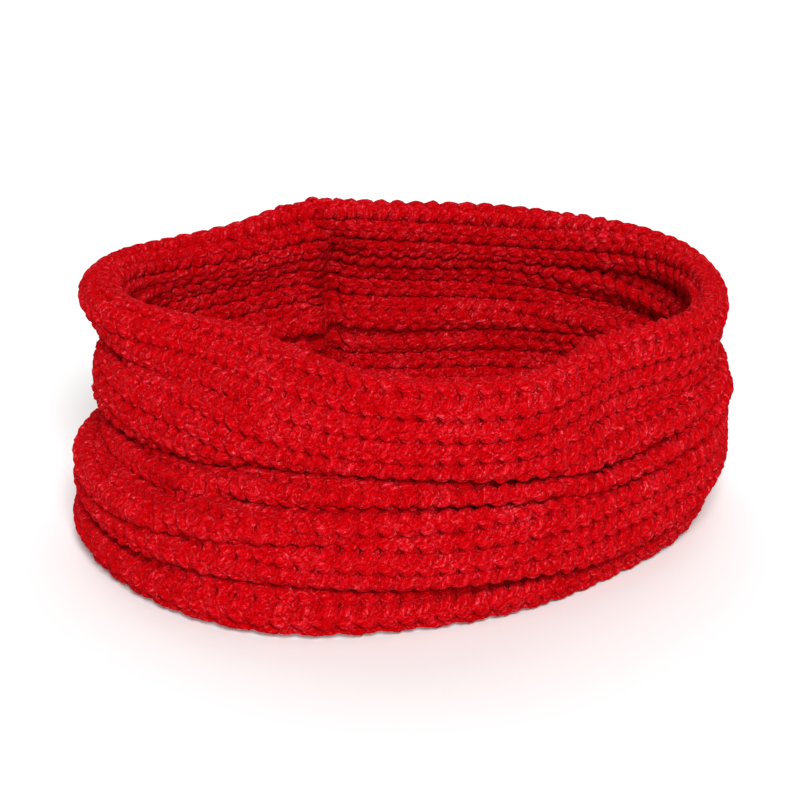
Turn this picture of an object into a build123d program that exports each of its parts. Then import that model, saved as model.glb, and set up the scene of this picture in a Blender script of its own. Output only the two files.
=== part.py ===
"""Chunky rib-knit neck gaiter, standing slouched on its lower edge.

The gaiter is one strip of thick rib knit. Its two ends are sewn together at a seam on the back
left, so the ribs run around the neck. The wall has slouched into rolls that sit on each other:
hem, lower, middle, upper and rim. Pulling the rim up opens the folds between the rolls one by one.

Frame: millimetres, +Z up, front of the gaiter towards -Y, origin on the floor under its middle.
"""

from build123d import *

import os
from math import cos, radians, sin

# The loop, seen from above: distance of its outer face from the Z axis, every 30 degrees from +X.
HEM_RADII = (110, 122, 101, 88, 97, 113, 117, 107, 100, 85, 81, 88)
WAIST_RADII = (107, 118, 100, 88, 96, 107, 108, 93, 86, 83, 84, 87)
RIM_RADII = (106, 121, 101, 89, 98, 114, 108, 79, 73, 82, 88, 87)
WAIST_HEIGHT = 52
RIM_HEIGHT = 86
WALL = 10  # thickness of a roll, which is the knit and the air in its fold

# The creases between the rolls: height on the Z axis, and the rise of each for 1 mm of +X and +Y.
FLOOR_LEVEL = (0, 0, 0)
HEM_CREASE = (14, 0, 0)
LOWER_CREASE = (38, 0, -0.05)
MIDDLE_CREASE = (47, 0, -0.07)
UPPER_CREASE = (67, -0.02, -0.02)
TOP_EDGE = (RIM_HEIGHT, -0.04, 0)

FOLD_GAP = 0.6  # air between two rolls that lie on each other
ROLL_ROUNDING = 3  # height over which the edge of a roll rounds off
EDGE_INSET = 2.6  # how far the edge of a roll lies inside its widest line
SHOULDER_INSET = 0.6
MIDDLE_RECESS = 2  # the middle roll is squeezed back between its neighbours

# The seam where the ends of the strip are sewn together.
SEAM_ANGLE = 112
SEAM_SLIT = 3.2
SEAM_YARN = 2.8
SEAM_PROUD = 1.2
SEAM_DIRECTION = (cos(radians(SEAM_ANGLE)), sin(radians(SEAM_ANGLE)), 0)
STITCH_PITCH = 7.3
STITCH_GAP = 0.5

# The two ends of the knitting yarn, woven in beside the seam on the inner face.
TAIL_DIAMETER = 3
TAIL_LENGTH = 26
TAIL_STANDOFF = 2.2
TAIL_DIRECTION = (1, 0, 0)
HEM_TAIL_HEIGHT = 7
RIM_TAIL_HEIGHT = 76

OUTLINE_STEP = 30


def crease_height(crease, x, y):
    """Height of a crease above the floor at a place in plan."""
    height, rise_x, rise_y = crease
    return height + rise_x * x + rise_y * y


def crease_plane(crease, lift=0.0):
    """The plane of a crease, moved up or down by a lift."""
    height, rise_x, rise_y = crease
    return Plane(origin=(0, 0, height + lift), x_dir=(1, 0, rise_x), z_dir=(-rise_x, -rise_y, 1))


def outer_radius(index, height):
    """Distance of the outer face from the Z axis in one of the twelve directions."""
    if height < WAIST_HEIGHT:
        share = height / WAIST_HEIGHT
        return HEM_RADII[index] * (1 - share) + WAIST_RADII[index] * share
    share = min(1, (height - WAIST_HEIGHT) / (RIM_HEIGHT - WAIST_HEIGHT))
    return WAIST_RADII[index] * (1 - share) + RIM_RADII[index] * share


def outline(height, inset):
    """Points of the loop's outline at a height, set in from the outer face."""
    points = []
    for index in range(len(HEM_RADII)):
        angle = radians(index * OUTLINE_STEP)
        radius = outer_radius(index, height) - inset
        points.append((radius * cos(angle), radius * sin(angle)))
    return points


def roll_sections(lower, upper):
    """Plane, height and inset of the five sections that shape a roll between two creases."""
    bottom_lift = FOLD_GAP / 2 if lower[0] > 0 else 0
    middle = tuple((a + b) / 2 for a, b in zip(lower, upper))
    return [
        (crease_plane(lower, bottom_lift), lower[0], EDGE_INSET),
        (crease_plane(lower, ROLL_ROUNDING), lower[0], SHOULDER_INSET),
        (crease_plane(middle), middle[0], 0),
        (crease_plane(upper, -ROLL_ROUNDING), upper[0], SHOULDER_INSET),
        (crease_plane(upper, -FOLD_GAP / 2), upper[0], EDGE_INSET),
    ]


def knit_roll(lower, upper, recess=0.0):
    """One roll of the knitted wall: a closed band, slit where the ends of the strip meet."""
    with BuildPart() as roll:
        for plane, height, inset in roll_sections(lower, upper):
            with BuildSketch(plane):
                with BuildLine():
                    Spline(outline(height, inset + recess), periodic=True)
                make_face()
        loft()
        for plane, height, inset in roll_sections(lower, upper):
            with BuildSketch(plane):
                with BuildLine():
                    Spline(outline(height, WALL + recess - inset), periodic=True)
                make_face()
        loft(mode=Mode.SUBTRACT)
        with Locations(Rotation(0, 0, SEAM_ANGLE)):
            Box(200, SEAM_SLIT, 300, align=(Align.MIN, Align.CENTER, Align.CENTER), mode=Mode.SUBTRACT)
    return roll


def seam_radius(height):
    """Distance of the outer face from the Z axis at the seam."""
    index = SEAM_ANGLE // OUTLINE_STEP
    share = SEAM_ANGLE / OUTLINE_STEP - index
    return outer_radius(index, height) * (1 - share) + outer_radius(index + 1, height) * share


def seam_stitches(lower, upper, recess=0.0):
    """The overcast stitches that close one roll: a short column of rounded loops in the slit."""
    middle_height = (lower[0] + upper[0]) / 2
    outer = seam_radius(middle_height) - recess
    middle_radius = outer - WALL / 2
    place = (middle_radius * cos(radians(SEAM_ANGLE)), middle_radius * sin(radians(SEAM_ANGLE)))
    bottom = crease_height(lower, *place) + FOLD_GAP / 2
    top = crease_height(upper, *place) - FOLD_GAP / 2
    count = max(1, round((top - bottom) / STITCH_PITCH))
    pitch = (top - bottom) / count
    with BuildPart() as stitches:
        for number in range(count):
            centre = (*place, bottom + (number + 0.5) * pitch)
            with BuildSketch(Plane(origin=centre, x_dir=(0, 0, 1), z_dir=SEAM_DIRECTION)):
                RectangleRounded(pitch - STITCH_GAP, SEAM_YARN, SEAM_YARN * 0.4)
            extrude(amount=WALL / 2 + SEAM_PROUD, both=True)
        ends = stitches.faces().filter_by(Axis((0, 0, 0), SEAM_DIRECTION))
        fillet(ends.edges(), SEAM_YARN * 0.3)
    return stitches


def woven_tail(height):
    """A yarn end that runs along the inner face, from the seam towards the middle of the back."""
    inner = seam_radius(height) - WALL - TAIL_STANDOFF - TAIL_DIAMETER / 2
    start = (inner * cos(radians(SEAM_ANGLE)), inner * sin(radians(SEAM_ANGLE)), height)
    with BuildPart() as tail:
        with BuildSketch(Plane(origin=start, z_dir=TAIL_DIRECTION)):
            Circle(TAIL_DIAMETER / 2)
        extrude(amount=TAIL_LENGTH)
        fillet(tail.edges().filter_by(GeomType.CIRCLE), TAIL_DIAMETER * 0.4)
    return tail


PIECES = {
    "hem_roll": knit_roll(FLOOR_LEVEL, HEM_CREASE),
    "lower_roll": knit_roll(HEM_CREASE, LOWER_CREASE),
    "middle_roll": knit_roll(LOWER_CREASE, MIDDLE_CREASE, MIDDLE_RECESS),
    "upper_roll": knit_roll(MIDDLE_CREASE, UPPER_CREASE),
    "rim_roll": knit_roll(UPPER_CREASE, TOP_EDGE),
    "hem_seam": seam_stitches(FLOOR_LEVEL, HEM_CREASE),
    "lower_seam": seam_stitches(HEM_CREASE, LOWER_CREASE),
    "middle_seam": seam_stitches(LOWER_CREASE, MIDDLE_CREASE, MIDDLE_RECESS),
    "upper_seam": seam_stitches(MIDDLE_CREASE, UPPER_CREASE),
    "rim_seam": seam_stitches(UPPER_CREASE, TOP_EDGE),
    "hem_yarn_tail": woven_tail(HEM_TAIL_HEIGHT),
    "rim_yarn_tail": woven_tail(RIM_TAIL_HEIGHT),
}

os.makedirs("parts", exist_ok=True)
for name, piece in PIECES.items():
    piece.part.label = name
    export_step(piece.part, f"parts/{name}.step")
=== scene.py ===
"""Looks of the chunky rib-knit neck gaiter: every stitch is yarn geometry laid on the slouched wall.

The wall is one strip of rib knit whose ribs run around the neck. A place on it is given by a rib
coordinate, 0 at the hem and one unit for each rib, and a course coordinate, one unit for each row
of stitches around the loop. The wall maps both to millimetres, and MM turns those into metres.
"""

from math import cos, pi, radians, sin

import bpy
import numpy as np
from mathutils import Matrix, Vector


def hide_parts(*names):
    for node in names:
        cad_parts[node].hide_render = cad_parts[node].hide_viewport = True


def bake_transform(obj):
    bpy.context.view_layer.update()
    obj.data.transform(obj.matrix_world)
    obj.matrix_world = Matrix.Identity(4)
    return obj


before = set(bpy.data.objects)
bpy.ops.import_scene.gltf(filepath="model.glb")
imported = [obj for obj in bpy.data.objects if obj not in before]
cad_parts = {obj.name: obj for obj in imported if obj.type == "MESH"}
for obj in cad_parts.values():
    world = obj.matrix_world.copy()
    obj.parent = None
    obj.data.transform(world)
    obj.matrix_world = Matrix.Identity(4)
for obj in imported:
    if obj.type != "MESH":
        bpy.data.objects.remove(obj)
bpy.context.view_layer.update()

MM = 0.001
rng = np.random.default_rng(20)

# The knit: ribs from the hem edge to the rolled-in rim edge, rows of stitches round the loop, and how far
# its stitches stand off the middle of the cloth.
RIB_COUNT = 17
COURSES = 100
LEG_DEPTH = 1.5

# Its yarn is a tube of so many sides, pressed wider and flatter by the knit, with an uneven surface. At
# its ends, these rings of the tube are drawn in to these sizes.
YARN_RADIUS = 1.72
YARN_SIDES = 7
YARN_WIDEN = 1.22
YARN_FLATTEN = 0.9
YARN_UNEVEN = 0.06
TIP_SIZES = ((0, 0.05), (1, 0.7), (-1, 0.05), (-2, 0.7))
HALF_THICKNESS = LEG_DEPTH + YARN_FLATTEN * YARN_RADIUS

# The crown of each roll from above: distance of its outer face from the Z axis, every 30 degrees from +X.
HEM_ROLL_RADII = (104, 117, 101, 88, 97, 110.5, 115.5, 109.5, 101.5, 86.5, 82, 85.5)
LOWER_ROLL_RADII = (109, 120, 102, 89, 97, 107.5, 114, 107, 98, 87, 84.5, 90)
MIDDLE_ROLL_RADII = (110.5, 120, 101, 89, 97, 107, 104.5, 95.5, 89.5, 84.5, 85, 89.5)
UPPER_ROLL_RADII = (108.5, 118, 101, 89, 97, 107.5, 106, 91, 84, 84, 86.5, 88.5)
RIM_ROLL_RADII = (108.5, 116, 101.5, 89, 98, 112.5, 109.5, 77.5, 73.5, 82.5, 86.5, 85)
ROLL_RADII = (
    HEM_ROLL_RADII,
    LOWER_ROLL_RADII,
    LOWER_ROLL_RADII,
    MIDDLE_ROLL_RADII,
    UPPER_ROLL_RADII,
    RIM_ROLL_RADII,
)

# Heights of the creases between the rolls and of the rim, in the same directions. The pleat is a short
# crease in the lower roll, on the front left only.
HEM_CREASE = (17, 14, 13, 13, 14, 15, 16, 15.5, 19, 16.5, 14.5, 10.5)
PLEAT = (32, 28, 26, 25, 25, 25, 25, 26.5, 33.5, 35.5, 33, 29)
LOWER_CREASE = (42, 37, 35, 34, 34, 34, 35, 36.5, 43.5, 46, 43, 38)
MIDDLE_CREASE = (49, 44.5, 44, 43, 43, 44, 44.5, 46, 53.5, 55, 51, 45)
UPPER_CREASE = (57, 58, 62, 66, 69, 71, 69, 72, 74, 71, 67, 60)
RIM_TOP = (85, 84.5, 86, 89, 90, 87.7, 89.5, 91, 90, 89, 88, 89.5)
CREASE_HEIGHTS = (HEM_CREASE, PLEAT, LOWER_CREASE, MIDDLE_CREASE, UPPER_CREASE)

# How deep each crease is folded in, and the depth from which a crease counts as fully folded.
CREASE_DEPTHS = (
    (9, 8, 6, 6, 6, 7, 9, 10, 10.5, 11, 10.5, 9),
    (0, 0, 0, 0, 0, 0, 1, 4.5, 5, 2, 0, 0),
    (6, 4, 3, 3, 3, 5, 7, 6, 6, 7, 7, 5),
    (9, 7, 6, 5, 5, 6, 8, 9, 9.5, 9.5, 9.5, 9),
    (6, 5, 4, 4, 4, 6, 7, 5, 1, 0, 0, 3.5),
)
FULL_FOLD = 8.0

# The control places of a roll, from inside the crease below it to inside the crease above it. Each is
# a share of the roll's height, millimetres up, more of them where the crease is fully folded, a share
# of the crease's depth inwards, and millimetres outwards where it is fully folded.
ROLL_PLACES = (
    (0.00, 0.8, 2.6, 0.55, 0.0),
    (0.00, 1.4, 0.6, 0.00, 0.4),
    (0.32, 0.0, 1.2, 0.00, 0.5),
    (0.60, 0.0, 0.0, 0.00, 0.0),
    (1.00, -2.4, -1.8, 0.22, 0.0),
    (1.00, -0.8, -1.6, 0.72, 0.0),
)

# The hem edge stands this far up from the floor and in from the hem roll's crown. The roll's side begins
# at this share of the height of the crease above it, and this far in.
HEM_EDGE_HEIGHT = -0.6
HEM_EDGE_INSET = 4.5
HEM_SIDE_SHARE = 0.45
HEM_SIDE_INSET = 0.3

# The rim leans out by its flare, rolls inwards round its curl, through these turns in degrees, and hangs
# down inside by its tuck. Its foot has two places like the first two of a roll.
RIM_FLARE = (3, 3, 1, 1, 1, 2, 6, -8, -7, -1, 0, 1)
RIM_FOOT = ((0.8, 2.4, 0.55, 0.0), (1.6, 1.2, 0.00, 0.2))
RIM_SIDE_FLARE = 0.7
RIM_SIDE_RISE = 3.0
CURL_RADII = (3.8, 3.8, 4.1, 4.2, 4.5, 5.2, 5.9, 5.4, 4.6, 4.2, 3.9, 3.8)
CURL_TURNS = (0, 40, 80, 120, 160, 200, 225)
CURL_REACH = 1.08
RIM_TUCK = (0, 4, 9, 9, 8, 4, 0, 0, 0, 0, 0, 0)
TUCK_FROM_TURN = 160
TUCK_LEAN = 0.2
EDGE_STEP = 1.5

# The seam pulls a ridge inwards, with a groove before it and the wall stepping in and down past it.
# The step and the drop each start, rise, hold and fall over these degrees past the seam. The ridge and
# the groove fade out near the rim, over this part of its height, and most of the step is lost there.
SEAM_ANGLE = 112.0
SEAM_RIDGE = 3.0
SEAM_RIDGE_WIDTH = 1.8
SEAM_GROOVE = 6.0
SEAM_GROOVE_BEFORE = 5.0
SEAM_GROOVE_WIDTH = 3.0
SEAM_FADE_SHARE = 0.2
SEAM_STEP = 6.5
SEAM_STEP_WAVE = (-1.5, 5, 7, 34)
STEP_LOST_AT_RIM = 0.8
SEAM_DROP = 6.0
SEAM_DROP_WAVE = (2, 20, 4, 30)

# How finely the wall is worked out: degrees, rows for each rib, rows beyond the first and last rib, steps
# between control places, and how far its normals are averaged up and down.
ANGLE_STEPS = 720
RIB_STEPS = 16
EDGE_RIBS = 0.3
SPAN_STEPS = 8
NORMAL_REACH = 7
NORMAL_BLUR = 3.0
WAIST_ROW = 8 * RIB_STEPS

# Each zone of the wall has two heights, from one body to the next, and stands for these CAD nodes.
ZONES = (
    ("low", "hem", "lower", 4.0, 27.0, ("hem_roll", "lower_roll")),
    ("mid", "lower", "upper", 30.0, 55.0, ("middle_roll", "upper_roll")),
    ("high", "upper", "rim", 58.0, 82.0, ("rim_roll",)),
)
ZONE_CUTS = (28.5, 56.5)

# Half of one knit stitch, from the foot it shares with the stitch before to the head of its loop:
# places along the wale in courses, across it in ribs, and above the middle surface in leg depths,
# with the thickness of the yarn there, which the loops around it squeeze. Each place wanders a little.
HALF_STITCH = (
    (-0.08, -0.25, 0.00, 0.84),
    (0.02, -0.07, 0.50, 0.72),
    (0.34, -0.08, 1.20, 0.74),
    (0.66, -0.225, 1.00, 1.03),
    (1.00, -0.26, 0.35, 1.04),
    (1.20, -0.10, 0.50, 0.78),
)
STITCH_SAMPLES = 2
STITCH_WANDER = (0.035, 0.018, 0.05)

# The loop of yarn at an edge, where it turns from one row to the next: courses along, ribs in from the
# edge, and leg depths above the wall's middle.
EDGE_LOOP = (
    (-0.10, 0.20, 0.2),
    (0.02, 0.10, 0.6),
    (0.22, 0.03, 0.5),
    (0.50, 0.00, 0.1),
    (0.78, 0.03, -0.4),
    (0.98, 0.10, -0.5),
    (1.10, 0.20, -0.2),
)
EDGE_INSET = 0.05
EDGE_SAMPLES = 3

# The seam yarn winds round the seam: ribs for each turn, courses to each side, millimetres off the wall.
SEAM_STITCH_RIBS = 0.55
SEAM_REACH = 0.36
SEAM_LIFT = 2.75
SEAM_YARN_RADIUS = 1.05
SEAM_TURN_POINTS = 14
SEAM_SQUARENESS = 0.6
SEAM_END_INSET = 0.1

# The woven-in yarn ends: how many courses they run back from the seam, the height of their weave in
# millimetres, and how far they sway across the ribs.
TAIL_COURSES = 4.4
TAIL_START = -0.2
TAIL_POINTS = 40
TAIL_RADIUS = 1.25
TAIL_MIDDLE = LEG_DEPTH + 0.75
TAIL_WEAVE = 1.1
TAIL_SWAY = 0.06
TAIL_SWAY_RATE = 1.7
HEM_TAIL_RIB = 0.75
RIM_TAIL_RIB = RIB_COUNT - 0.6

# The cloth is a plain band, its reds much darker than the yarn's: painted shade in the gaps and holes
# between stitches. The yarn's fuzz fills the gaps between stitches up to its lift, except for a hole of
# this size and depth in each valley, where four stitches meet.
CLOTH_COURSE_STEPS = 4
CLOTH_RIB_STEPS = 8
FUZZ_COURSE_STEPS = 6
FUZZ_RIB_STEPS = 12
FUZZ_LIFT = 2.05
HOLE_COURSE = 0.3
HOLE_COURSES = 0.25
HOLE_RIB = 0.25
HOLE_RIBS = 0.21
HOLE_DEPTH = 3.2

# The yarn's look: its millimetres for one twist, its plies, and the scale of its fibres, fuzz and patches.
TWIST_LENGTH = 9.0
PLIES = 3
FIBRE_STRETCH = 0.45
FIBRE_SCALE = 1.6
FUZZ_SCALE = 1200.0
PATCH_SCALE = 90.0

# What share of the tone comes from each, and the tones that are dark, middling, light and flecked; the
# flecks are lighter fibres and partly painted fibre highlights.
FIBRE_TONE = 0.5
FUZZ_TONE = 0.38
PATCH_TONE = 0.12
PLY_TONE = 0.02
DARK_AT = 0.38
MID_AT = 0.5
LIGHT_AT = 0.58
FLECK_HIGHLIGHT_AT = 0.66

# The relief of the plies against the fibres, and of the strands and the nap on the yarn.
PLY_RELIEF = 0.16
BUMP_STRENGTH = 0.8
BUMP_DISTANCE = 0.0009

# How matt the yarn is, and its faint sheen.
YARN_ROUGHNESS = 0.9
YARN_SPECULAR = 0.01
SHEEN_WEIGHT = 0.03
SHEEN_ROUGHNESS = 0.4
SHEEN_TINT = (1.0, 0.16, 0.2, 1)

# The yarn's colours where it is dark, middling, light and flecked, the flecks lighter fibres and partly
# painted
# fibre highlights: the knit, its seam, and the cloth within.
KNIT_REDS = ((0.36, 0.0, 0.0005), (0.54, 0.0005, 0.003), (0.66, 0.012, 0.022), (0.9, 0.115, 0.145))
SEAM_REDS = ((0.3, 0.0, 0.0005), (0.46, 0.0005, 0.002), (0.6, 0.008, 0.016), (0.82, 0.08, 0.10))
# The cloth's reds are far darker than the yarn's: painted shade seen in the holes between stitches.
CORE_SHADE_REDS = ((0.13, 0.0, 0.0), (0.17, 0.0, 0.001), (0.2, 0.0, 0.001), (0.23, 0.0, 0.002))

# The floor: the radius and height of each ring in metres. Far away it curves up into a backdrop.
FLOOR_RINGS = ((4, 0), (7, 0.1), (10, 0.6), (13, 1.6), (16, 3.2))
FLOOR_SIDES = 48
FLOOR_GREY = 0.88
FLOOR_ROUGHNESS = 0.9

# The light: the strength of the white sky, and each lamp's direction, width in degrees and strength.
SKY_LIGHT = 0.35
LAMPS = (
    ("key", (0.14, -1.3, 1.15), 22, 3.25),
    ("back", (0.1, 1.0, 1.0), 60, 1.0),
)

# The camera: degrees above the horizon, metres away from what it aims at, and its lens.
ELEVATION = 24.0
CAMERA_DISTANCE = 1.25
AIM = (-0.0016, 0.0, 0.0473)
LENS = 164.9
SENSOR_WIDTH = 36
VIEW_DEPTH = 20


def around(values, degrees):
    """A smooth closed curve through twelve values, read at angles in degrees."""
    place = np.asarray(degrees) / 30.0 % 12
    index = np.floor(place).astype(int)
    share = place - index
    values = np.asarray(values, float)
    before, here, after, beyond = (values[(index + step) % 12] for step in (-1, 0, 1, 2))
    bend = 2 * before - 5 * here + 4 * after - beyond + share * (3 * (here - after) + beyond - before)
    return here + 0.5 * share * (after - before + share * bend)


def folded(depth):
    """How fully a crease of this depth is folded, from 0 to 1."""
    return np.clip(depth / FULL_FOLD, 0, 1)


def roll_outline(crown, low, high, low_depth, high_depth):
    """Control places of one roll, from inside the crease below it to inside the crease above it."""
    places = []
    for share, up, folded_up, inwards, swell in ROLL_PLACES:
        depth = high_depth if share == 1 else low_depth
        far = crown - inwards * depth + swell * folded(depth)
        places.append((far, low + share * (high - low) + up + folded_up * folded(depth)))
    return places


def rim_outline(angles, crown_below, crown, crease, depth):
    """Control places of the rim roll, from the crease under it to the rolled-in edge."""
    flare = around(RIM_FLARE, angles)
    curl = around(CURL_RADII, angles)
    tuck = around(RIM_TUCK, angles)
    middle = around(RIM_TOP, angles) - HALF_THICKNESS - curl
    foot = crown - flare
    places = [(0.5 * (crown_below + foot) - depth, crease)]
    for up, folded_up, inwards, swell in RIM_FOOT:
        far = foot - inwards * depth + swell * folded(depth)
        places.append((far, crease + up + folded_up * folded(depth)))
    places.append((crown - RIM_SIDE_FLARE * flare, 0.5 * (crease + RIM_SIDE_RISE + middle)))
    for turn in CURL_TURNS:
        reach = CURL_REACH * curl
        hang = tuck * max(0, turn - TUCK_FROM_TURN) / (CURL_TURNS[-1] - TUCK_FROM_TURN)
        far = crown - curl + reach * cos(radians(turn)) + TUCK_LEAN * hang
        places.append((far, middle + reach * sin(radians(turn)) - hang))
    end = places[-1]
    return places + [(end[0] + EDGE_STEP, end[1] - EDGE_STEP)] * 2


def wall_outline(angles):
    """Control places of the wall's middle surface, from the hem edge to the rolled-in rim edge."""
    heights = [around(values, angles) for values in CREASE_HEIGHTS]
    depths = [around(values, angles) for values in CREASE_DEPTHS]
    crowns = [around(values, angles) - HALF_THICKNESS for values in ROLL_RADII]
    still = np.zeros_like(angles)
    last = len(heights) - 1
    places = [(crowns[0] - HEM_EDGE_INSET, still + HEM_EDGE_HEIGHT)] * 2
    places.append((crowns[0] - HEM_SIDE_INSET, HEM_SIDE_SHARE * heights[0]))
    places += roll_outline(crowns[0], still, heights[0], still, depths[0])[-2:]
    for number in range(last):
        root = np.minimum(crowns[number], crowns[number + 1]) - depths[number]
        places.append((root, heights[number]))
        places += roll_outline(crowns[number + 1], heights[number], heights[number + 1],
                               depths[number], depths[number + 1])
    places += rim_outline(angles, crowns[last], crowns[-1], heights[last], depths[last])
    return np.array([np.stack([far + still, up + still], -1) for far, up in places])


def spline(places, steps):
    """A smooth curve drawn along its control places, with steps points for each span."""
    before, here, after, beyond = places[:-3], places[1:-2], places[2:-1], places[3:]
    rows = []
    for step in range(steps):
        t = step / steps
        rows.append(((1 - t) ** 3 * before + (3 * t ** 3 - 6 * t ** 2 + 4) * here
                     + (-3 * t ** 3 + 3 * t ** 2 + 3 * t + 1) * after + t ** 3 * beyond) / 6)
    return np.stack(rows, 1).reshape(-1, *places.shape[1:])


def soft_step(values):
    """Rises smoothly from 0 to 1 as the values do."""
    share = np.clip(values, 0, 1)
    return share * share * (3 - 2 * share)


def past_seam(angles, start, rise, hold, fall):
    """A wave of height 1 past the seam: where it starts, and how many degrees it rises, holds and falls."""
    beyond = angles - SEAM_ANGLE - start
    return soft_step(beyond / rise) * (1 - soft_step((beyond - rise - hold) / fall))


def shape_seam(angles, radius, heights):
    """The wall's radii and heights with the ridge, groove, step and drop of the seam."""
    away = (angles - SEAM_ANGLE + 180) % 360 - 180
    share_up = np.clip(heights / RIM_TOP[3], 0, 1)
    fade = soft_step((1 - share_up) / SEAM_FADE_SHARE)
    ridge = SEAM_RIDGE * np.exp(-(away / SEAM_RIDGE_WIDTH) ** 2)[:, None]
    groove = SEAM_GROOVE * np.exp(-((away + SEAM_GROOVE_BEFORE) / SEAM_GROOVE_WIDTH) ** 2)[:, None]
    step = SEAM_STEP * past_seam(angles, *SEAM_STEP_WAVE)[:, None] * share_up ** 0.5
    step = step * (1 - STEP_LOST_AT_RIM * share_up ** 6)
    drop = SEAM_DROP * past_seam(angles, *SEAM_DROP_WAVE)[:, None] * share_up ** 2
    return radius - ridge * fade - step + groove * fade, heights - drop


def make_wall():
    """The middle surface of the knit and its normals, on a grid of angles and rib places."""
    angles = np.arange(ANGLE_STEPS) * 360 / ANGLE_STEPS
    outline = spline(wall_outline(angles), SPAN_STEPS)
    steps = np.linalg.norm(np.diff(outline, axis=0), axis=-1)
    length = np.concatenate([np.zeros((1, ANGLE_STEPS)), np.cumsum(steps, 0)])
    rows = round((RIB_COUNT + 2 * EDGE_RIBS) * RIB_STEPS) + 1
    share = np.linspace(0, 1, rows)
    radius, heights = (
        np.array([
            np.interp(share * length[-1, i], length[:, i], outline[:, i, part]) for i in range(ANGLE_STEPS)
        ])
        for part in (0, 1)
    )
    radius, heights = shape_seam(angles, radius, heights)

    turn = np.radians(angles)[:, None]
    place = np.stack([radius * np.cos(turn), radius * np.sin(turn), heights], -1)
    along = np.roll(place, -1, 0) - np.roll(place, 1, 0)
    across = np.gradient(place, axis=1)
    normal = np.cross(along, across)
    normal /= np.linalg.norm(normal, axis=-1, keepdims=True)
    kernel = np.exp(-0.5 * (np.arange(-NORMAL_REACH, NORMAL_REACH + 1) / NORMAL_BLUR) ** 2)
    kernel /= kernel.sum()
    padded = np.pad(normal, ((0, 0), (NORMAL_REACH, NORMAL_REACH), (0, 0)), "edge")
    normal = sum(weight * padded[:, step:step + rows] for step, weight in enumerate(kernel))
    normal /= np.linalg.norm(normal, axis=-1, keepdims=True)
    return place, normal


WALL_PLACE, WALL_NORMAL = make_wall()


def measure_waist():
    """Millimetres round the loop at its waist, from +X, and the angles where they were measured."""
    waist = WALL_PLACE[:, WAIST_ROW]
    steps = np.linalg.norm(np.roll(waist, -1, 0) - waist, axis=-1)
    length = np.concatenate([[0], np.cumsum(steps)])
    return length, np.arange(ANGLE_STEPS + 1) * 360 / ANGLE_STEPS


WAY, WAY_ANGLE = measure_waist()
LOOP_LENGTH = WAY[-1]
SEAM_WAY = np.interp(SEAM_ANGLE, WAY_ANGLE, WAY)


def on_wall(courses, ribs, lift):
    """Millimetre places for course and rib coordinates, lifted off the wall's middle surface."""
    way = (SEAM_WAY + courses / COURSES * LOOP_LENGTH) % LOOP_LENGTH
    column = np.interp(way, WAY, WAY_ANGLE) / 360 * ANGLE_STEPS
    row = np.clip((ribs + EDGE_RIBS) * RIB_STEPS, 0, WALL_PLACE.shape[1] - 1.001)
    i, j = np.floor(column).astype(int), np.floor(row).astype(int)
    a, b = (column - i)[..., None], (row - j)[..., None]
    i0, i1 = i % ANGLE_STEPS, (i + 1) % ANGLE_STEPS

    def read(grid):
        near = grid[i0, j] * (1 - b) + grid[i0, j + 1] * b
        far = grid[i1, j] * (1 - b) + grid[i1, j + 1] * b
        return near * (1 - a) + far * a

    normal = read(WALL_NORMAL)
    return read(WALL_PLACE) + normal * lift[..., None], normal


def smooth(points, samples):
    """Points along axis 1 with more between them, on a curve that passes through them all."""
    first, last = 2 * points[:, :1] - points[:, 1:2], 2 * points[:, -1:] - points[:, -2:-1]
    padded = np.concatenate([first, points, last], 1)
    before, here, after, beyond = padded[:, :-3], padded[:, 1:-2], padded[:, 2:-1], padded[:, 3:]
    rows = []
    for step in range(samples):
        t = step / samples
        bend = 2 * before - 5 * here + 4 * after - beyond + t * (3 * (here - after) + beyond - before)
        rows.append(here + 0.5 * t * (after - before + t * bend))
    dense = np.stack(rows, 2).reshape(points.shape[0], -1, points.shape[2])
    return np.concatenate([dense, points[:, -1:]], 1)


def yarn_courses():
    """Every course of the knit as a line of yarn in millimetres, its outward directions and its radii."""
    half = np.array(HALF_STITCH)
    stitch = np.concatenate([half, (half * (1, -1, 1, 1))[::-1]])[:-1]
    columns = []
    for number in range(2 * RIB_COUNT):
        face = 1 if number % 2 else -1
        columns.append(stitch * (1, 1, face, 1) + (0, number / 2 + 0.25, 0, 0))
    line = np.concatenate(columns + [columns[-1][:1] + (0, 0.5, 0, 0)])
    lines = np.repeat(line[None], COURSES, 0)
    lines[..., :3] += rng.normal(0, 1, lines[..., :3].shape) * STITCH_WANDER
    lines[..., 0] += np.arange(COURSES)[:, None]
    lines = smooth(lines, STITCH_SAMPLES)
    places, out = on_wall(lines[..., 0], lines[..., 1], lines[..., 2] * LEG_DEPTH)
    return places, out, lines[..., 3:, None] * YARN_RADIUS


def tube_rings(lines, out, radius):
    """Rings of points round each line, pressed flat against the wall whose outward direction is given."""
    tangent = np.gradient(lines, axis=1)
    tangent /= np.linalg.norm(tangent, axis=-1, keepdims=True)
    normal = np.empty_like(lines)
    start = np.cross(tangent[:, 0], (0.3, 0.2, 1.0))
    normal[:, 0] = start / np.linalg.norm(start, axis=-1, keepdims=True)
    for step in range(1, lines.shape[1]):
        carried = normal[:, step - 1]
        carried = carried - (carried * tangent[:, step]).sum(-1, keepdims=True) * tangent[:, step]
        normal[:, step] = carried / np.linalg.norm(carried, axis=-1, keepdims=True)
    side = np.cross(tangent, normal)
    turn = np.arange(YARN_SIDES) * 2 * pi / YARN_SIDES
    swell = radius * (1 + rng.normal(0, YARN_UNEVEN, lines.shape[:2] + (YARN_SIDES, 1)))
    ring = (normal[:, :, None] * np.cos(turn)[:, None] + side[:, :, None] * np.sin(turn)[:, None]) * swell
    rise = (ring * out[:, :, None]).sum(-1, keepdims=True) * out[:, :, None]
    return lines[:, :, None] + YARN_WIDEN * (ring - rise) + YARN_FLATTEN * rise


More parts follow.
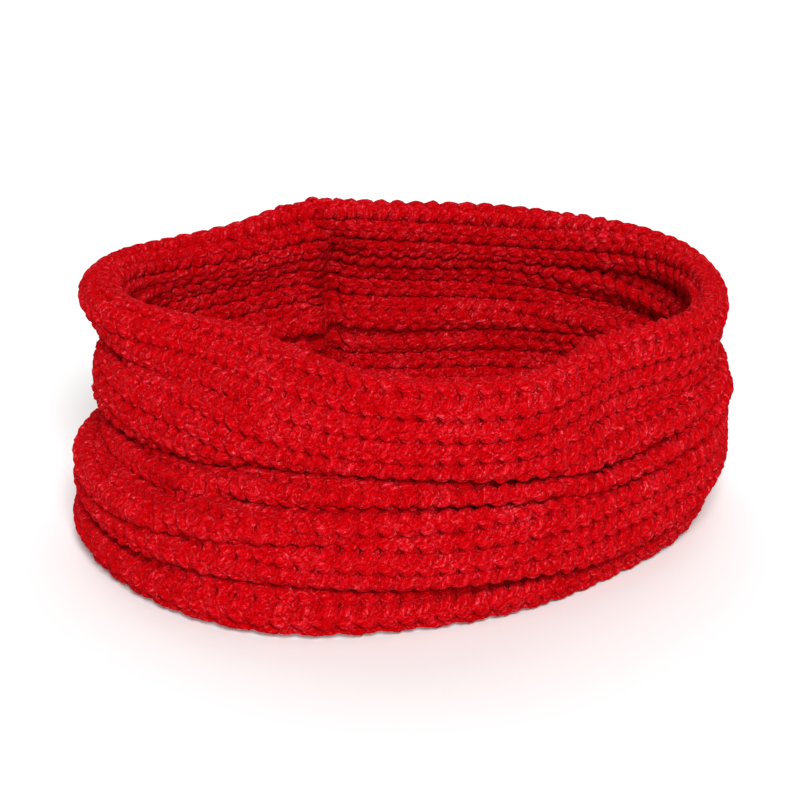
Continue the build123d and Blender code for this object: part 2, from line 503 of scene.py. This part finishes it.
def round_ends(rings):
    """The rings with their first and last drawn in, so that each tube ends in a rounded tip."""
    rings = rings.copy()
    for ring, size in TIP_SIZES:
        centre = rings[:, ring].mean(1, keepdims=True)
        rings[:, ring] = centre + (rings[:, ring] - centre) * size
    return rings


def line_lengths(lines):
    """Millimetres along each line at each of its points."""
    steps = np.linalg.norm(np.diff(lines, axis=1), axis=-1)
    return np.concatenate([np.zeros((len(lines), 1)), np.cumsum(steps, 1)], 1)


def tube_faces(rings, lengths):
    """Points, faces and yarn places of tubes: millimetres along the yarn and turns round it."""
    tubes, steps, sides = rings.shape[:3]
    tube, step, side = np.meshgrid(np.arange(tubes), np.arange(steps - 1), np.arange(sides), indexing="ij")
    first = (tube * steps + step) * sides
    ahead = (side + 1) % sides
    faces = np.stack([first + side, first + ahead, first + sides + ahead, first + sides + side], -1)
    round_yarn = np.stack([side, side + 1, side + 1, side], -1) / sides
    near, far = lengths[tube, step], lengths[tube, step + 1]
    along_yarn = np.stack([near, near, far, far], -1)
    uv = np.stack([along_yarn, round_yarn], -1)
    return rings.reshape(-1, 3), faces.reshape(-1, 4), uv.reshape(-1, 4, 2)


def mesh_piece(name, points, faces, uv, material):
    """A smooth mesh piece from millimetre points and four-cornered faces."""
    used, corners = np.unique(faces, return_inverse=True)
    mesh = bpy.data.meshes.new(name)
    mesh.vertices.add(len(used))
    mesh.vertices.foreach_set("co", (points[used] * MM).astype(np.float32).ravel())
    mesh.loops.add(faces.size)
    mesh.loops.foreach_set("vertex_index", corners.astype(np.int32).ravel())
    mesh.polygons.add(len(faces))
    mesh.polygons.foreach_set("loop_start", np.arange(0, faces.size, 4, dtype=np.int32))
    mesh.polygons.foreach_set("use_smooth", np.ones(len(faces), bool))
    layer = mesh.uv_layers.new(name="yarn")
    layer.data.foreach_set("uv", uv.astype(np.float32).ravel())
    mesh.update(calc_edges=True)
    mesh.validate()
    mesh.materials.append(material)
    piece = bpy.data.objects.new(name, mesh)
    bpy.context.scene.collection.objects.link(piece)
    return piece


def zone_pieces(name, points, faces, uv, material, finish):
    """The mesh cut at the zone heights into pieces, one for each zone it reaches."""
    heights = points[faces][..., 2].mean(-1)
    zones = np.searchsorted(ZONE_CUTS, heights)
    present = np.unique(zones)
    pieces = []
    for zone in present:
        label, below, above, start, end = ZONES[zone][:5]
        mine = zones == zone
        full_name = f"{name}_{label}" if len(present) > 1 else name
        piece = mesh_piece(full_name, points, faces[mine], uv[mine], material)
        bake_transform(piece)
        pieces.append((zone, piece))
    return pieces


def grow(tree, kind, **values):
    """A shader node with its sockets set."""
    node = tree.nodes.new(kind)
    for key, value in values.items():
        node.inputs[key.replace("_", " ")].default_value = value
    return node


def math_node(tree, operation, first, second=0.0):
    """A maths node on two values or sockets, returning its output socket."""
    node = tree.nodes.new("ShaderNodeMath")
    node.operation = operation
    for socket, value in zip(node.inputs, (first, second)):
        if isinstance(value, (int, float)):
            socket.default_value = value
        else:
            tree.links.new(value, socket)
    return node.outputs[0]


def yarn_space(tree):
    """Places that turn with the twist of the yarn: along it, and two across it."""
    uv = tree.nodes.new("ShaderNodeUVMap")
    uv.uv_map = "yarn"
    parts = tree.nodes.new("ShaderNodeSeparateXYZ")
    tree.links.new(uv.outputs["UV"], parts.inputs[0])
    along, turns = parts.outputs[0], parts.outputs[1]
    twist = math_node(tree, "ADD", math_node(tree, "MULTIPLY", turns, 2 * pi),
                      math_node(tree, "MULTIPLY", along, 2 * pi / TWIST_LENGTH))
    place = tree.nodes.new("ShaderNodeCombineXYZ")
    tree.links.new(math_node(tree, "MULTIPLY", along, FIBRE_STRETCH), place.inputs[0])
    tree.links.new(math_node(tree, "COSINE", twist), place.inputs[1])
    tree.links.new(math_node(tree, "SINE", twist), place.inputs[2])
    ply = math_node(tree, "COSINE", math_node(tree, "MULTIPLY", twist, PLIES))
    return place.outputs[0], ply


def yarn_material(name, dark, mid, light, fleck_highlight):
    """Fuzzy twisted acrylic yarn: plies, fibres and flecks in colour and bump, the flecks partly painted
    fibre highlights, with a faint sheen.
    """
    material = bpy.data.materials.new(name)
    material.use_nodes = True
    tree = material.node_tree
    shader = tree.nodes["Principled BSDF"]
    shader.inputs["Roughness"].default_value = YARN_ROUGHNESS
    shader.inputs["Sheen Weight"].default_value = SHEEN_WEIGHT
    shader.inputs["Sheen Roughness"].default_value = SHEEN_ROUGHNESS
    shader.inputs["Sheen Tint"].default_value = SHEEN_TINT
    shader.inputs["Specular IOR Level"].default_value = YARN_SPECULAR
    twisted, ply = yarn_space(tree)
    place = tree.nodes.new("ShaderNodeTexCoord")
    fibre = grow(tree, "ShaderNodeTexNoise", Scale=FIBRE_SCALE, Detail=3.0, Roughness=0.7)
    tree.links.new(twisted, fibre.inputs["Vector"])
    fuzz = grow(tree, "ShaderNodeTexNoise", Scale=FUZZ_SCALE, Detail=3.0, Roughness=0.7)
    patch = grow(tree, "ShaderNodeTexNoise", Scale=PATCH_SCALE, Detail=2.0)
    for node in (fuzz, patch):
        tree.links.new(place.outputs["Object"], node.inputs["Vector"])
    tone = math_node(tree, "MULTIPLY", fibre.outputs["Fac"], FIBRE_TONE)
    others = ((fuzz.outputs["Fac"], FUZZ_TONE), (patch.outputs["Fac"], PATCH_TONE), (ply, PLY_TONE))
    for source, share in others:
        tone = math_node(tree, "ADD", tone, math_node(tree, "MULTIPLY", source, share))
    ramp = tree.nodes.new("ShaderNodeValToRGB")
    ramp.color_ramp.elements[0].position = DARK_AT
    ramp.color_ramp.elements[0].color = (*dark, 1)
    # The top of the ramp: pale pink flecks, lighter fibres and partly painted fibre highlights.
    ramp.color_ramp.elements[1].position = FLECK_HIGHLIGHT_AT
    ramp.color_ramp.elements[1].color = (*fleck_highlight, 1)
    for position, color in ((MID_AT, mid), (LIGHT_AT, light)):
        ramp.color_ramp.elements.new(position).color = (*color, 1)
    tree.links.new(tone, ramp.inputs["Fac"])
    tree.links.new(ramp.outputs["Color"], shader.inputs["Base Color"])
    height = math_node(tree, "ADD", math_node(tree, "MULTIPLY", ply, PLY_RELIEF), fibre.outputs["Fac"])
    strands = grow(tree, "ShaderNodeBump", Strength=BUMP_STRENGTH, Distance=BUMP_DISTANCE)
    tree.links.new(height, strands.inputs["Height"])
    nap = grow(tree, "ShaderNodeBump", Strength=BUMP_STRENGTH, Distance=BUMP_DISTANCE)
    tree.links.new(fuzz.outputs["Fac"], nap.inputs["Height"])
    tree.links.new(strands.outputs["Normal"], nap.inputs["Normal"])
    tree.links.new(nap.outputs["Normal"], shader.inputs["Normal"])
    return material


KNIT_YARN = yarn_material("knit_yarn", *KNIT_REDS)
SEAM_YARN = yarn_material("seam_yarn", *SEAM_REDS)
# The core material's dark reds are painted shade between the stitches.
KNIT_CORE_SHADE = yarn_material("knit_core_shade", *CORE_SHADE_REDS)


def make_ribs():
    """The knit, cut into pieces rib by rib."""
    lines, out, radii = yarn_courses()
    rings = tube_rings(lines, out, radii)
    lengths = line_lengths(lines)
    rib_points = 2 * (2 * len(HALF_STITCH) - 1) * STITCH_SAMPLES
    pieces = []
    for rib in range(RIB_COUNT):
        start = rib * rib_points
        end = min(start + rib_points, lines.shape[1] - 1) + 1
        points, faces, uv = tube_faces(rings[:, start:end], lengths[:, start:end])
        pieces += zone_pieces(f"rib_{rib + 1:02d}", points, faces, uv, KNIT_YARN, "knit")
    return pieces


def make_selvedge(name, first_course, edge_rib, inwards):
    """The loops where the yarn turns from one row of stitches to the next, along an edge of the strip."""
    rows = np.arange(first_course, COURSES, 2)[:, None]
    along, across, lift = np.array(EDGE_LOOP).T
    still = np.zeros_like(rows)
    lines = np.stack([rows + along, edge_rib + inwards * across + still, LEG_DEPTH * lift + still], -1)
    lines = smooth(lines, EDGE_SAMPLES)
    lines, out = on_wall(lines[..., 0], lines[..., 1], lines[..., 2])
    rings = round_ends(tube_rings(lines, out, YARN_RADIUS))
    return zone_pieces(name, *tube_faces(rings, line_lengths(lines)), KNIT_YARN, "knit")


def make_seam():
    """The overcast stitches that join the two ends of the strip: one yarn wound round the seam."""
    turns = RIB_COUNT / SEAM_STITCH_RIBS
    phase = np.linspace(0, 2 * pi * turns, round(SEAM_TURN_POINTS * turns))
    lift = np.sign(np.sin(phase)) * np.abs(np.sin(phase)) ** SEAM_SQUARENESS * SEAM_LIFT
    rib = SEAM_END_INSET + (RIB_COUNT - 2 * SEAM_END_INSET) * phase / phase[-1]
    lines, out = on_wall(SEAM_REACH * np.cos(phase)[None], rib[None], lift[None])
    rings = round_ends(tube_rings(lines, out, SEAM_YARN_RADIUS))
    return zone_pieces("seam", *tube_faces(rings, line_lengths(lines)), SEAM_YARN, "seam_yarn")


def make_tail(name, node, rib, face):
    """A yarn end woven along one face of the knit, over one stitch and under the next."""
    course = np.linspace(TAIL_START, -TAIL_COURSES, TAIL_POINTS)
    lift = face * (TAIL_MIDDLE + TAIL_WEAVE * np.cos(pi * course))
    sway = rib + TAIL_SWAY * np.sin(TAIL_SWAY_RATE * course)
    lines, out = on_wall(course[None], sway[None], lift[None])
    rings = round_ends(tube_rings(lines, out, TAIL_RADIUS))
    for zone, piece in zone_pieces(name, *tube_faces(rings, line_lengths(lines)), SEAM_YARN, "seam_yarn"):
        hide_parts(node)


def make_layer(name, course_steps, rib_steps, lift, material):
    """A layer of the cloth over the whole strip; lift gives its height above the wall's middle surface."""
    columns = np.arange(0, COURSES, 1 / course_steps)
    rows = np.linspace(0, RIB_COUNT, rib_steps * RIB_COUNT + 1)
    course, rib = np.meshgrid(columns, rows, indexing="ij")
    points = on_wall(course, rib, lift(course, rib))[0].reshape(-1, 3)
    i, j = np.meshgrid(np.arange(len(columns)), np.arange(len(rows) - 1), indexing="ij")
    ahead = (i + 1) % len(columns)
    tall = len(rows)
    here, there = i * tall + j, ahead * tall + j
    faces = np.stack([here, there, there + 1, here + 1], -1).reshape(-1, 4)
    uv = np.stack([course * LOOP_LENGTH / COURSES, rib], -1).reshape(-1, 2)[faces]
    return zone_pieces(name, points, faces, uv, material, "knit")


def flat_lift(course, rib):
    """The middle of the cloth."""
    return np.zeros_like(course)


def fuzz_lift(course, rib):
    """Just under the tops of the outer stitches, with a hole in each valley where four of them meet."""
    across = (rib - HOLE_RIB + 0.5) % 1 - 0.5
    along = (course - HOLE_COURSE + 0.5) % 1 - 0.5
    hole = np.exp(-(across / HOLE_RIBS) ** 2 - (along / HOLE_COURSES) ** 2)
    return FUZZ_LIFT - HOLE_DEPTH * hole


def inner_fuzz_lift(course, rib):
    """The same on the inner face, whose ribs lie between the outer ones."""
    return -fuzz_lift(course, rib - 0.5)


stitches = make_ribs()
stitches += make_selvedge("hem_selvedge", 0, EDGE_INSET, 1)
stitches += make_selvedge("rim_selvedge", 1, RIB_COUNT - EDGE_INSET, -1)
seams = make_seam()
make_tail("hem_tail", "hem_yarn_tail", HEM_TAIL_RIB, -1)
make_tail("rim_tail", "rim_yarn_tail", RIM_TAIL_RIB, 1)
# The cloth is drawn in the dark core reds: painted shade seen through the holes between stitches.
cloth = make_layer("cloth", CLOTH_COURSE_STEPS, CLOTH_RIB_STEPS, flat_lift, KNIT_CORE_SHADE)
stitches += make_layer("fuzz", FUZZ_COURSE_STEPS, FUZZ_RIB_STEPS, fuzz_lift, KNIT_YARN)
stitches += make_layer("inner_fuzz", FUZZ_COURSE_STEPS, FUZZ_RIB_STEPS, inner_fuzz_lift, KNIT_YARN)

for zone, piece in stitches + cloth:
    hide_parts(*ZONES[zone][5])
for zone, piece in seams:
    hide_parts(*(node.replace("roll", "seam") for node in ZONES[zone][5]))


def make_floor():
    """A plain pale floor that curves up far away."""
    turns = [2 * pi * number / FLOOR_SIDES for number in range(FLOOR_SIDES)]
    points = [(0, 0, 0)]
    points += [(far * cos(turn), far * sin(turn), up) for far, up in FLOOR_RINGS for turn in turns]
    ahead = [(i + 1) % FLOOR_SIDES for i in range(FLOOR_SIDES)]
    faces = [(0, 1 + i, 1 + ahead[i]) for i in range(FLOOR_SIDES)]
    for ring in range(len(FLOOR_RINGS) - 1):
        near, far = 1 + ring * FLOOR_SIDES, 1 + (ring + 1) * FLOOR_SIDES
        faces += [(near + i, far + i, far + ahead[i], near + ahead[i]) for i in range(FLOOR_SIDES)]
    mesh = bpy.data.meshes.new("floor")
    mesh.from_pydata(points, [], faces)
    mesh.polygons.foreach_set("use_smooth", [True] * len(faces))
    floor = bpy.data.objects.new("floor", mesh)
    bpy.context.scene.collection.objects.link(floor)
    material = bpy.data.materials.new("pale_floor")
    material.use_nodes = True
    shader = material.node_tree.nodes["Principled BSDF"]
    shader.inputs["Base Color"].default_value = (FLOOR_GREY, FLOOR_GREY, FLOOR_GREY, 1)
    shader.inputs["Roughness"].default_value = FLOOR_ROUGHNESS
    mesh.materials.append(material)


def make_lights():
    """Soft studio light: a white sky and two broad lamps."""
    world = bpy.data.worlds.new("studio")
    world.use_nodes = True
    world.node_tree.nodes["Background"].inputs["Color"].default_value = (1, 1, 1, 1)
    world.node_tree.nodes["Background"].inputs["Strength"].default_value = SKY_LIGHT
    bpy.context.scene.world = world
    for name, place, spread, power in LAMPS:
        light = bpy.data.lights.new(name, "SUN")
        light.angle = radians(spread)
        light.energy = power
        lamp = bpy.data.objects.new(name, light)
        lamp.location = place
        lamp.rotation_euler = (-Vector(place)).to_track_quat("-Z", "Y").to_euler()
        bpy.context.scene.collection.objects.link(lamp)


def make_camera():
    """The camera, looking along +Y and down on the front of the loop."""
    camera = bpy.data.cameras.new("camera")
    camera.sensor_width = SENSOR_WIDTH
    camera.lens = LENS
    camera.clip_end = VIEW_DEPTH
    rig = bpy.data.objects.new("camera", camera)
    tilt = radians(ELEVATION)
    aim = Vector(AIM)
    rig.location = aim + CAMERA_DISTANCE * Vector((0, -cos(tilt), sin(tilt)))
    rig.rotation_euler = (aim - rig.location).to_track_quat("-Z", "Y").to_euler()
    bpy.context.scene.collection.objects.link(rig)
    bpy.context.scene.camera = rig


make_floor()
make_lights()
make_camera()
bpy.context.scene.view_settings.view_transform = "Standard"
